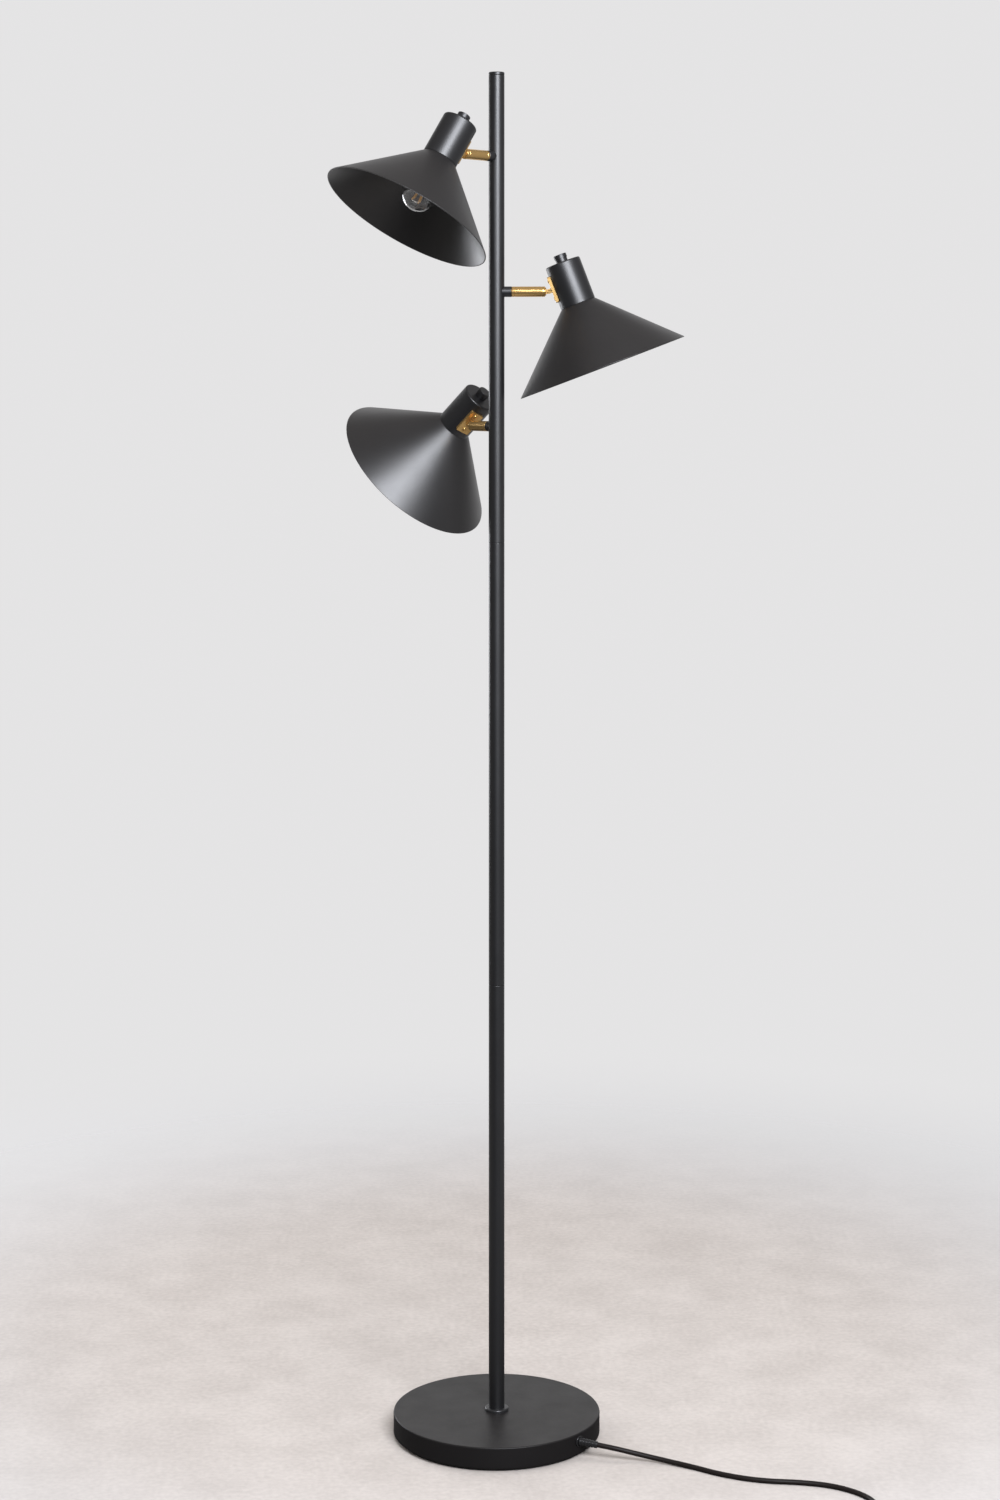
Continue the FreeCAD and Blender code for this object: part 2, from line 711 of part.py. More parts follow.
def cord_plug():
    """Flat two-pin plug, made along +X from the cord's end."""
    half = plug_width / 2
    shoulder = plug_relief_length + plug_length / 3
    nose = plug_relief_length + plug_length
    outline = [V(plug_relief_length, -half / 2, 0), V(shoulder, -half, 0), V(nose, -half, 0),
               V(nose, half, 0), V(shoulder, half, 0), V(plug_relief_length, half / 2, 0)]
    body = Part.Face(Part.makePolygon(outline + outline[:1])).extrude(V(0, 0, plug_height))
    body = body.makeFillet(plug_edge_r, body.Edges).translated(V(0, 0, -plug_height / 2))
    relief = Part.makeCone(relief_tip_r, relief_root_r, plug_relief_length + plug_edge_r, V(), X_AXIS)
    pieces = [body.fuse(relief).removeSplitter()]
    for side in (-1, 1):
        foot = V(nose, side * plug_pin_spacing / 2, 0)
        pieces.append(cylinder(plug_pin_r, foot, foot + X_AXIS * plug_pin_length))
    return [placed(piece, plug_frame) for piece in pieces]


# ---------------------------------------------------------------- the lamp
save("base_cover", base_cover())
save("base_weight", base_weight())
save("floor_pad", floor_pad())
save("base_collar", base_collar())
save("anchor_rod", anchor_rod())
save("anchor_nut", anchor_nut(), anchor_washer())
save("pole_lower", pole_lower())
save("pole_middle", pole_tube(seam_low, seam_high))
save("pole_upper", pole_upper())
save("pole_couplers", pole_coupler(seam_low), pole_coupler(seam_high))
save("pole_cap", pole_cap())
save("pole_wiring", pole_wiring())
save("cord_bushing", cord_bushing())
save("cord_lead", cord_lead())
save("cord_coil", cord_coil())
save("cord_tail", cord_tail())
save("cord_plug", *cord_plug())

nipples = []
for k in range(3):
    arm = FreeCAD.Placement(V(0, 0, arm_heights[k]), FreeCAD.Rotation(Z_AXIS, arm_azimuths[k]))
    swivel = arm * FreeCAD.Placement(V(), FreeCAD.Rotation(X_AXIS, swivel_rest[k]))
    head = swivel * FreeCAD.Placement(V(pivot_x, 0, 0), FreeCAD.Rotation(Y_AXIS, -tilt_rest[k]))
    number = k + 1
    nipples.append(placed(arm_nipple(), arm))
    save("arm_tube_%d" % number, placed(arm_tube(), arm))
    save("swivel_stem_%d" % number, placed(swivel_stem(), swivel))
    save("knuckle_bracket_%d" % number, placed(knuckle_bracket(), head))
    save("knuckle_pin_%d" % number, placed(knuckle_pin(), head))
    save("bracket_screws_%d" % number, *[placed(bracket_screw(z), head) for z in screw_heights])
    save("lamp_cup_%d" % number, placed(lamp_cup(), head))
    save("shade_%d" % number, placed(shade(), head))
    save("shade_ring_%d" % number, placed(shade_ring(), head))
    save("lampholder_%d" % number, placed(lampholder(), head))
    save("switch_body_%d" % number, placed(switch_body(), head))
    save("switch_knob_%d" % number, placed(knob_cap(), head), placed(knob_spindle(), head))
    save("bulb_base_%d" % number, placed(bulb_base(), head))
    save("bulb_glass_%d" % number, placed(bulb_glass(), head))
    save("bulb_filament_%d" % number, placed(bulb_filament(), head))
save("arm_nipples", *nipples)
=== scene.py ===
import json
import math

import bmesh
import bpy
from mathutils import Matrix, Vector


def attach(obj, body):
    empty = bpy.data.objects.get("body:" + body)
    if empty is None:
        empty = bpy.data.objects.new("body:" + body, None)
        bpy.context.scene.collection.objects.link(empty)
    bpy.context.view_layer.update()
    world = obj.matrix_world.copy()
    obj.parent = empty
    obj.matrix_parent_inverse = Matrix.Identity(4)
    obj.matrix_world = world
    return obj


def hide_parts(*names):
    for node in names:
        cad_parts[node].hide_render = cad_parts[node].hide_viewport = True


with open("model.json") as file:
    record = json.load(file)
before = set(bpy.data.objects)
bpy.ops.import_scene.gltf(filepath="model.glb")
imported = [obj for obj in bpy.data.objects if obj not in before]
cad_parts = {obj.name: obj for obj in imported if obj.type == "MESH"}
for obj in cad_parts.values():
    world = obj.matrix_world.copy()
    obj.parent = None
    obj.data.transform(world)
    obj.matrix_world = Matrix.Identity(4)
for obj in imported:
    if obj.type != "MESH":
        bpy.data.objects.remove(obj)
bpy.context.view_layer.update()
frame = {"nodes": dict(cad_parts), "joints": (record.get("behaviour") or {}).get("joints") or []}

# Viewpoint
# The lamp is seen from 3.4 m in front of its pole, from a height between its two lower arms. The lens is
# shifted down and hardly pitched, so that the pole's sides stay parallel.
down_pitch = 1.54
lens = bpy.data.cameras.new("viewpoint")
lens.lens = 68.264
lens.shift_y = -0.20
viewpoint = bpy.data.objects.new("viewpoint", lens)
viewpoint.location = (0.00412, -3.42227, 1.28674)
viewpoint.rotation_euler = (math.radians(90 - down_pitch), 0, 0)
bpy.context.scene.collection.objects.link(viewpoint)
bpy.context.scene.camera = viewpoint


# Cord gland
# A moulded black gland is pressed through the base's side wall. Its ring shows as a bright lip outside,
# and a ribbed, tapering relief grows out of it towards the right, where the lead pulls.
def rounded_outline(corners, arc_steps=5):
    """(radius, height) points of a turned outline; a third number rounds that corner."""
    outline = []
    for i, corner in enumerate(corners):
        here = Vector(corner[:2])
        if len(corner) < 3:
            outline.append(here)
            continue
        back = (Vector(corners[i - 1][:2]) - here).normalized()
        ahead = (Vector(corners[(i + 1) % len(corners)][:2]) - here).normalized()
        half = back.angle(ahead) / 2
        start = here + back * corner[2] / math.tan(half)
        end = here + ahead * corner[2] / math.tan(half)
        centre = here + (back + ahead).normalized() * corner[2] / math.sin(half)
        for step in range(arc_steps + 1):
            swing = start.lerp(end, step / arc_steps) - centre
            outline.append(centre + swing.normalized() * corner[2])
    return outline


def turned(name, corners, place, sides=96, swell=None):
    """Piece turned about the Z axis of place; swell(angle, radius, height) adds ribs or threads to it."""
    outline = rounded_outline(corners)
    work = bmesh.new()
    rings = []
    for radius, height in outline:
        if radius < 1e-7:
            rings.append([work.verts.new((0, 0, height))] * sides)
            continue
        ring = []
        for step in range(sides):
            angle = math.tau * step / sides
            r = radius + (swell(angle, radius, height) if swell else 0)
            ring.append(work.verts.new((r * math.cos(angle), r * math.sin(angle), height)))
        rings.append(ring)
    for low, high in zip(rings, rings[1:] + rings[:1]):
        for step in range(sides):
            after = (step + 1) % sides
            loop = []
            for vert in (low[step], low[after], high[after], high[step]):
                if vert not in loop:
                    loop.append(vert)
            if len(loop) > 2:
                work.faces.new(loop)
    bmesh.ops.recalc_face_normals(work, faces=work.faces)
    return as_piece(name, work, place)


def as_piece(name, work, place):
    """Object made of work, smooth but for the edges that turn sharply."""
    sharp_angle = 32
    mesh = bpy.data.meshes.new(name)
    work.to_mesh(mesh)
    work.free()
    mesh.shade_smooth()
    mesh.set_sharp_from_angle(angle=math.radians(sharp_angle))
    piece = bpy.data.objects.new(name, mesh)
    piece.matrix_world = place
    bpy.context.scene.collection.objects.link(piece)
    return piece


def frame_along(origin, way, up=Vector((0, 0, 1))):
    """Placement whose Z axis runs along way, and whose X axis is as near to up as it can be."""
    z = Vector(way).normalized()
    y = z.cross(up).normalized()
    turn = Matrix((y.cross(z), y, z)).transposed().to_4x4()
    return Matrix.Translation(origin) @ turn


def new_effect(name, inputs, outputs):
    """Node group with sockets (name, kind, value); returns the tree with its input and output nodes."""
    tree = bpy.data.node_groups.new(name, "ShaderNodeTree")
    for label, kind, value in inputs:
        socket = tree.interface.new_socket(label, in_out="INPUT", socket_type="NodeSocket" + kind)
        socket.default_value = value
    for label, kind in outputs:
        tree.interface.new_socket(label, in_out="OUTPUT", socket_type="NodeSocket" + kind)
    return tree, tree.nodes.new("NodeGroupInput"), tree.nodes.new("NodeGroupOutput")


# Surface grain: a fine relief, drawn out along the marks of the tool on turned metal, and uneven gloss.
grain, given, made = new_effect(
    "surface grain",
    [("Stretch", "Vector", (900, 900, 900)), ("Smooth", "Float", 0.3), ("Rough", "Float", 0.4),
     ("Patch Size", "Float", 30.0)],
    [("Height", "Float"), ("Roughness", "Float")])
place_on = grain.nodes.new("ShaderNodeTexCoord")
stretched = grain.nodes.new("ShaderNodeVectorMath")
stretched.operation = "MULTIPLY"
relief = grain.nodes.new("ShaderNodeTexNoise")
relief.inputs["Scale"].default_value = 1
relief.inputs["Detail"].default_value = 3
patches = grain.nodes.new("ShaderNodeTexNoise")
patches.inputs["Detail"].default_value = 4
gloss = grain.nodes.new("ShaderNodeMapRange")
gloss.inputs["From Min"].default_value = 0.3
gloss.inputs["From Max"].default_value = 0.7
grain.links.new(place_on.outputs["Object"], stretched.inputs[0])
grain.links.new(given.outputs["Stretch"], stretched.inputs[1])
grain.links.new(stretched.outputs["Vector"], relief.inputs["Vector"])
grain.links.new(place_on.outputs["Object"], patches.inputs["Vector"])
grain.links.new(given.outputs["Patch Size"], patches.inputs["Scale"])
grain.links.new(patches.outputs["Fac"], gloss.inputs["Value"])
grain.links.new(given.outputs["Smooth"], gloss.inputs["To Min"])
grain.links.new(given.outputs["Rough"], gloss.inputs["To Max"])
grain.links.new(relief.outputs["Fac"], made.inputs["Height"])
grain.links.new(gloss.outputs["Result"], made.inputs["Roughness"])

# Tone: a slow drift between two colours, with a thin settling of dust on faces that look up.
tone, given, made = new_effect(
    "tone and dust",
    [("Colour", "Color", (0.02, 0.02, 0.02, 1)), ("Drift", "Color", (0.03, 0.03, 0.03, 1)),
     ("Drift Size", "Float", 20.0), ("Dust", "Float", 0.02)],
    [("Colour", "Color")])
place_on = tone.nodes.new("ShaderNodeTexCoord")
slow = tone.nodes.new("ShaderNodeTexNoise")
slow.inputs["Detail"].default_value = 5
drifted = tone.nodes.new("ShaderNodeMix")
drifted.data_type = "RGBA"
facing = tone.nodes.new("ShaderNodeNewGeometry")
upward = tone.nodes.new("ShaderNodeSeparateXYZ")
specks = tone.nodes.new("ShaderNodeTexNoise")
specks.inputs["Scale"].default_value = 260
specks.inputs["Detail"].default_value = 6
thin = tone.nodes.new("ShaderNodeMath")
thin.operation = "MULTIPLY"
thin.use_clamp = True
amount = tone.nodes.new("ShaderNodeMath")
amount.operation = "MULTIPLY"
amount.use_clamp = True
# Set heavy, as on the base, this upward dust is partly dust and partly painted light on faces that look up.
dusty = tone.nodes.new("ShaderNodeMix")
dusty.data_type = "RGBA"
dusty.inputs["B"].default_value = (0.33, 0.31, 0.29, 1)
tone.links.new(place_on.outputs["Object"], slow.inputs["Vector"])
tone.links.new(place_on.outputs["Object"], specks.inputs["Vector"])
tone.links.new(given.outputs["Drift Size"], slow.inputs["Scale"])
tone.links.new(slow.outputs["Fac"], drifted.inputs["Factor"])
tone.links.new(given.outputs["Colour"], drifted.inputs["A"])
tone.links.new(given.outputs["Drift"], drifted.inputs["B"])
tone.links.new(facing.outputs["Normal"], upward.inputs["Vector"])
tone.links.new(upward.outputs["Z"], thin.inputs[0])
tone.links.new(specks.outputs["Fac"], thin.inputs[1])
tone.links.new(thin.outputs["Value"], amount.inputs[0])
tone.links.new(given.outputs["Dust"], amount.inputs[1])
tone.links.new(amount.outputs["Value"], dusty.inputs["Factor"])
tone.links.new(drifted.outputs["Result"], dusty.inputs["A"])
tone.links.new(dusty.outputs["Result"], made.inputs["Colour"])


def finish_of(name, colour, drift, gloss_range, stretch=(900, 900, 900), depth=0.00002, dust=0.02,
              drift_size=20.0, patch_size=30.0, **plain):
    """Material with drifting colour and fine grain; plain names further sockets of its shader."""
    material = bpy.data.materials.new(name)
    material.use_nodes = True
    nodes, links = material.node_tree.nodes, material.node_tree.links
    shader = nodes["Principled BSDF"]
    for socket, value in plain.items():
        shader.inputs[socket.replace("_", " ")].default_value = value
    toned = nodes.new("ShaderNodeGroup")
    toned.node_tree = tone
    toned.inputs["Colour"].default_value = (*colour, 1)
    toned.inputs["Drift"].default_value = (*drift, 1)
    toned.inputs["Drift Size"].default_value = drift_size
    toned.inputs["Dust"].default_value = dust
    links.new(toned.outputs["Colour"], shader.inputs["Base Color"])
    grained = nodes.new("ShaderNodeGroup")
    grained.node_tree = grain
    grained.inputs["Stretch"].default_value = stretch
    grained.inputs["Smooth"].default_value, grained.inputs["Rough"].default_value = gloss_range
    grained.inputs["Patch Size"].default_value = patch_size
    links.new(grained.outputs["Roughness"], shader.inputs["Roughness"])
    bump = nodes.new("ShaderNodeBump")
    bump.inputs["Strength"].default_value = 1
    bump.inputs["Distance"].default_value = depth
    links.new(grained.outputs["Height"], bump.inputs["Height"])
    links.new(bump.outputs["Normal"], shader.inputs["Normal"])
    return material


def fit(piece, material, body, slot, *nodes):
    """Gives a new piece its finish and the body it rides on, and hides the CAD nodes it stands for; slot is
    not used.
    """
    piece.data.materials.append(material)
    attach(piece, body)
    if nodes:
        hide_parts(*nodes)
    return piece


def refinish(node, material):
    """Gives a CAD node's own mesh a fuller material."""
    mesh = frame["nodes"][node].data
    mesh.materials.clear()
    mesh.materials.append(material)


gland_wall = Vector((0.097826, -0.077814, 0.0195))
gland_azimuth = math.radians(-38.5)
gland_out = Vector((math.cos(gland_azimuth), math.sin(gland_azimuth), 0))
gland_depth, gland_r = 0.008, 0.0049
lip_r, lip_height = 0.0065, 0.002
relief_root = gland_wall + gland_out * 0.001
relief_tip = Vector((0.119676, -0.084478, 0.017583))
relief_way = (relief_tip - relief_root).normalized()
relief_length = (relief_tip - relief_root).length
bushing_finish = finish_of("gland plastic", (0.012, 0.012, 0.013), (0.018, 0.018, 0.019), (0.22, 0.34),
                           depth=0.00001, Specular_IOR_Level=0.6)
gland = turned("gland_ring", [
    (0, -gland_depth), (gland_r, -gland_depth), (gland_r, 0), (lip_r, 0, 0.0003), (lip_r, lip_height, 0.0008),
    (0.0053, lip_height, 0.0003), (0.0051, 0.0014), (0, 0.0014)],
    frame_along(gland_wall, gland_out), sides=64)
fit(gland, bushing_finish, "stand", "bushing", "cord_bushing")

relief_outline = [(0, 0)]
relief_ribs, rib_share = 6, 0.55
relief_r, relief_taper, groove_depth = 0.0049, 0.001, 0.0007
for rib in range(relief_ribs):
    low = relief_length * rib / relief_ribs
    high = relief_length * (rib + rib_share) / relief_ribs
    after = relief_length * (rib + 1) / relief_ribs
    radius = relief_r - relief_taper * rib / relief_ribs
    relief_outline += [(radius, low, 0.0002), (radius - 0.0001, high, 0.0002)]
    if rib < relief_ribs - 1:
        relief_outline += [(radius - groove_depth, high, 0.0002), (radius - groove_depth, after)]
relief_outline += [(0.0039, relief_length, 0.0004), (0.0031, relief_length), (0, relief_length - 0.001)]
strain_relief = turned("strain_relief", relief_outline, frame_along(relief_root, relief_way), sides=48)
fit(strain_relief, bushing_finish, "stand", "bushing")

# Mains plug
# A flat two-pin plug of dark moulded plastic, with grip ridges on both faces and a short relief.
# Its plated pins are sleeved half way. It lies beside the coil of spare lead.
plug_end = Vector((0.485, -0.370, 0.0069))
plug_x = Vector((0.023, -0.006, 0)).normalized()
plug_y = Vector((0, 0, 1)).cross(plug_x)
plug_place = Matrix.Translation(plug_end) @ Matrix((plug_x, plug_y, (0, 0, 1))).transposed().to_4x4()
plug_half_width, plug_half_height = 0.017, 0.0064
plug_heel, plug_shoulder, plug_nose = 0.020, 0.0313, 0.054
plug_rounding = 0.0034
ridge_count, ridge_step = 5, 0.0038
ridge_width, ridge_length, ridge_height, ridge_rounding = 0.0016, 0.018, 0.0009, 0.0004
plug_finish = finish_of("moulded plug", (0.016, 0.014, 0.013), (0.022, 0.019, 0.018), (0.38, 0.5),
                        depth=0.00003)

work = bmesh.new()
plug_outline = [
    (plug_heel, -plug_half_width / 2), (plug_shoulder, -plug_half_width), (plug_nose, -plug_half_width),
    (plug_nose, plug_half_width), (plug_shoulder, plug_half_width), (plug_heel, plug_half_width / 2)]
face = work.faces.new([work.verts.new((x, y, -plug_half_height)) for x, y in plug_outline])
raised = bmesh.ops.extrude_face_region(work, geom=[face])["geom"]
bmesh.ops.translate(work, verts=[v for v in raised if isinstance(v, bmesh.types.BMVert)],
                    vec=(0, 0, 2 * plug_half_height))
bmesh.ops.bevel(work, geom=work.edges[:], offset=plug_rounding, segments=6, profile=0.5, affect="EDGES")
for side in (-1, 1):
    for ridge in range(ridge_count):
        x = plug_shoulder + 0.002 + ridge_step * ridge
        bar_place = Matrix.Translation((x, 0, side * plug_half_height))
        bar_size = Matrix.Diagonal((ridge_width, ridge_length, ridge_height, 1))
        bar = bmesh.ops.create_cube(work, size=1, matrix=bar_place @ bar_size)
        edges = {e for v in bar["verts"] for e in v.link_edges}
        bmesh.ops.bevel(work, geom=list(edges), offset=ridge_rounding, segments=2, affect="EDGES")
bmesh.ops.recalc_face_normals(work, faces=work.faces)
plug = as_piece("plug_body", work, plug_place)
fit(plug, plug_finish, "stand", "plug", "cord_plug")

plug_relief = turned("plug_relief", [
    (0, 0.001), (0.0031, 0), (0.0039, 0, 0.0003), (0.0041, 0.0035, 0.0003), (0.0034, 0.004), (0.0034, 0.0055),
    (0.0043, 0.006, 0.0003), (0.0045, 0.0095, 0.0003), (0.0037, 0.010), (0.0037, 0.0115),
    (0.0047, 0.012, 0.0003), (0.0049, 0.0155, 0.0003), (0.0041, 0.016), (0.0041, 0.0175), (0.0049, 0.018),
    (0.0049, 0.0234), (0, 0.0234)], plug_place @ Matrix.Rotation(math.pi / 2, 4, "Y"), sides=48)
fit(plug_relief, plug_finish, "stand", "plug")

plated_finish = finish_of("nickel plate", (0.62, 0.60, 0.55), (0.70, 0.68, 0.63), (0.16, 0.26),
                          depth=0.000005, dust=0, Metallic=1.0)
plug_parts = [gland, strain_relief, plug, plug_relief]
pin_offset, pin_length, pin_r = 0.0093, 0.020, 0.002
sleeve_length, sleeve_bore = 0.0105, 0.0018
for side in (-1, 1):
    foot = (plug_place @ Matrix.Translation((plug_nose - 0.001, side * pin_offset, 0))
            @ Matrix.Rotation(math.pi / 2, 4, "Y"))
    name = "left" if side > 0 else "right"
    pin = turned("plug_pin_" + name, [
        (0, 0), (sleeve_bore, 0), (sleeve_bore, sleeve_length), (pin_r, sleeve_length),
        (pin_r, pin_length, 0.0012), (0, pin_length)], foot, sides=40)
    fit(pin, plated_finish, "stand", "nickel")
    sleeve = turned("plug_sleeve_" + name, [
        (0, 0), (pin_r, 0), (pin_r, sleeve_length, 0.0003), (sleeve_bore, sleeve_length), (0, 0.010)],
        foot, sides=40)
    fit(sleeve, plug_finish, "stand", "plug")
    plug_parts += [pin, sleeve]

# Mains lead
# A dark brown round flex, 6 mm thick and 2.05 m long. It falls from the relief to the floor, wanders out of
# the picture to the right, and what is left over lies there in a neat coil of seven turns in two layers.
flex_radius = 0.003
lead_points = [
    (0.119676, -0.084478, 0.017583), (0.138828, -0.089970, 0.015840), (0.165, -0.092, 0.010),
    (0.196, -0.098, 0.0048), (0.231, -0.115, 0.003), (0.262, -0.138, 0.003), (0.306, -0.157, 0.003),
    (0.356, -0.1615, 0.003), (0.396, -0.1745, 0.003), (0.429, -0.207, 0.003), (0.434, -0.250, 0.003),
    (0.434, -0.290, 0.003)]
coil_x, coil_y = 0.480, -0.296
coil_outer, coil_pitch = 0.046, 0.0066
coil_layers = (0.003, 0.0096)
turns_per_layer = 3.5
points_per_turn = 16
coil_points = []
for step in range(int(2 * turns_per_layer * points_per_turn) + 1):
    turn = step / points_per_turn
    left = turns_per_layer - turn
    radius = coil_outer - coil_pitch * (turns_per_layer - abs(left))
    radius *= 1 + (1 - math.cos(math.tau / points_per_turn)) / 4  # the smooth curve runs inside its points
    climb = min(1, max(0, 0.5 - 2 * left))
    height = coil_layers[0] + (coil_layers[1] - coil_layers[0]) * climb * climb * (3 - 2 * climb)
    angle = math.pi + math.tau * turn
    coil_points.append((coil_x + radius * math.cos(angle), coil_y + radius * math.sin(angle), height))
tail_points = [
    (0.434, -0.302, 0.0096), (0.434, -0.326, 0.0096), (0.441, -0.349, 0.008), (0.462, -0.364, 0.0069),
    (0.485, -0.370, 0.0069)]
flex_points = lead_points + coil_points[1:-1] + tail_points
flex_curve = bpy.data.curves.new("mains_lead", "CURVE")
flex_curve.dimensions = "3D"
flex_curve.bevel_depth = flex_radius
flex_curve.bevel_resolution = 5
run = flex_curve.splines.new("NURBS")
run.points.add(len(flex_points) - 1)
for point, (x, y, z) in zip(run.points, flex_points):
    point.co = (x, y, z, 1)
run.order_u = 3
run.use_endpoint_u = True
run.resolution_u = 6
lead = bpy.data.objects.new("mains_lead", flex_curve)
bpy.context.scene.collection.objects.link(lead)
lead_finish = finish_of("brown flex", (0.010, 0.0070, 0.0062), (0.014, 0.0100, 0.0088), (0.40, 0.50),
                        stretch=(1500, 1500, 1500), depth=0.00001, dust=0.01, Specular_IOR_Level=0.25)
fit(lead, lead_finish, "stand", "lead", "cord_lead", "cord_coil", "cord_tail")

# Weighted base
# A spun steel cover in matt charcoal powder coat hides a cast-iron disc. The disc's narrow foot and a foam
# pad lift the cover off the floor, so a dark line runs round below it.
# Its dust is set heavy: partly dust, partly a painted lightening of the top face, which catches the light.
base_finish = finish_of("charcoal powder coat", (0.008, 0.0070, 0.0072), (0.011, 0.0100, 0.0102),
                        (0.40, 0.46), stretch=(1500, 1500, 1500), depth=0.00001, dust=0.05, drift_size=12,
                        Specular_IOR_Level=0.30)
refinish("base_cover", base_finish)
iron_finish = finish_of("raw cast iron", (0.10, 0.095, 0.09), (0.16, 0.14, 0.125), (0.55, 0.75),
                        stretch=(500, 500, 500), depth=0.0003, drift_size=60, Metallic=0.7)
refinish("base_weight", iron_finish)
pad_finish = finish_of("foam rubber", (0.018, 0.018, 0.018), (0.028, 0.027, 0.026), (0.8, 0.95),
                       stretch=(1800, 1800, 1800), depth=0.0001)
refinish("floor_pad", pad_finish)
steel_finish = finish_of("zinc plate", (0.52, 0.53, 0.55), (0.62, 0.62, 0.60), (0.25, 0.4),
                         depth=0.00001, drift_size=80, Metallic=1.0)
for node in ("anchor_rod", "anchor_nut", "pole_couplers"):
    refinish(node, steel_finish)

# Pole
# Three painted steel tubes, joined by hidden threaded couplers at two fine seams with rounded lips. A low
# polished collar covers the foot, a bevelled plug closes the top, and the flex runs up inside.
collar_finish = finish_of("black nickel", (0.055, 0.055, 0.057), (0.075, 0.075, 0.078), (0.30, 0.36),
                          depth=0.000002, Metallic=0.7)
refinish("base_collar", collar_finish)
pole_finish = finish_of("satin pole paint", (0.006, 0.006, 0.0065), (0.008, 0.008, 0.009), (0.39, 0.42),
                        stretch=(2600, 2600, 2600), depth=0.0000005, dust=0.01, Specular_IOR_Level=0.9)
for node in ("pole_lower", "pole_middle", "pole_upper", "pole_cap"):
    refinish(node, pole_finish)
core_finish = finish_of("cable sheath", (0.03, 0.025, 0.022), (0.04, 0.033, 0.03), (0.4, 0.5))
refinish("pole_wiring", core_finish)

# Arms
# A short black threaded sleeve screws into the pole, and a turned brass tube screws onto it. Light grooves
# are cut near both ends of the tube, and a captive brass stem turns in its mouth.
cup_finish = finish_of("satin cup paint", (0.006, 0.006, 0.0065), (0.009, 0.009, 0.010), (0.39, 0.42),
                       stretch=(2600, 2600, 2600), depth=0.0000005, dust=0.015, Specular_IOR_Level=0.9)
refinish("arm_nipples", cup_finish)
brass_finish = finish_of("satin brass", (0.74, 0.47, 0.17), (0.78, 0.50, 0.19), (0.27, 0.30),
                         stretch=(1600, 1600, 1600), depth=0.0000004, dust=0, drift_size=90, Metallic=0.85)
turned_brass = finish_of("turned brass", (0.74, 0.47, 0.17), (0.78, 0.50, 0.19), (0.25, 0.28),
                         stretch=(60, 60, 9000), depth=0.0000005, dust=0, drift_size=90, Metallic=0.85)
tube_start, tube_end = 0.0185, 0.0585
tube_r, tube_bore, groove_r, mouth_bore, mouth_depth = 0.00625, 0.005, 0.00595, 0.00418, 0.006
tube_outline = [(tube_bore, tube_start), (tube_r, tube_start, 0.0003)]
for groove in (tube_start + 0.0035, tube_end - 0.0045):
    tube_outline += [(tube_r, groove - 0.0004), (groove_r, groove - 0.0001), (groove_r, groove + 0.0001),
                     (tube_r, groove + 0.0004)]
tube_outline += [(tube_r, tube_end, 0.0009), (mouth_bore, tube_end), (mouth_bore, tube_end - mouth_depth),
                 (tube_bore, tube_end - mouth_depth)]
joint = {j["name"]: j for j in frame["joints"]}
heads = {}
for k in (1, 2, 3):
    swivel, tilt, switch = (joint[f"{name}_{k}"] for name in ("swivel_turn", "head_tilt", "switch_turn"))
    arm_way = Vector(swivel["axis"])
    arm_foot = Vector((0, 0, swivel["pos_m"][2]))
    head_z, head_y = Vector(switch["axis"]), -Vector(tilt["axis"])
    heads[k] = (Matrix.Translation(tilt["pos_m"])
                @ Matrix((head_y.cross(head_z), head_y, head_z)).transposed().to_4x4())
    arm_tube = turned(f"brass_tube_{k}", tube_outline, frame_along(arm_foot, arm_way), sides=72)
    fit(arm_tube, turned_brass, "stand", "brass", f"arm_tube_{k}")
    refinish(f"swivel_stem_{k}", brass_finish)

# Knuckles
# Each stem ends in an eye between the two ears of a brass plate, and a pin riveted at both ends joins them.
# Two pan-head screws with cross recesses hold the plate to the side of the lamp cup.
ear_face, pin_dome = 0.0040, 0.0008
pivot_r, rivet_r, rivet_flat_r = 0.0015, 0.0022, 0.0013
screw_face, screw_level = 0.00435, 0.011


def screw_head(name, place):
    """Domed head, seat at z = 0, with a cross recess sunk in its top."""
    radius, height = 0.0025, 0.0013
    recess, slot_half, slot_reach = 0.0009, 0.00036, 0.0015
    sides, rings = 48, 12
    work = bmesh.new()
    grid = []
    for ring in range(rings + 1):
        share = ring / rings
        row = []
        for step in range(sides):
            angle = math.tau * step / sides
            x, y = radius * share * math.cos(angle), radius * share * math.sin(angle)
            z = height * (1 - share ** 4 * 0.75)
            across = min(abs(x), abs(y))
            arm = max(abs(x), abs(y))
            if across < slot_half and arm < slot_reach:
                z -= recess * (1 - arm / 0.0019)
            row.append(work.verts.new((x, y, z)))
        grid.append(row)
    grid.append([work.verts.new((v.co.x, v.co.y, 0)) for v in grid[-1]])
    for low, high in zip(grid, grid[1:]):
        for step in range(sides):
            after = (step + 1) % sides
            work.faces.new((low[step], low[after], high[after], high[step]))
    work.faces.new(grid[-1])
    bmesh.ops.remove_doubles(work, verts=work.verts, dist=1e-6)
    bmesh.ops.recalc_face_normals(work, faces=work.faces)
    return as_piece(name, work, place)


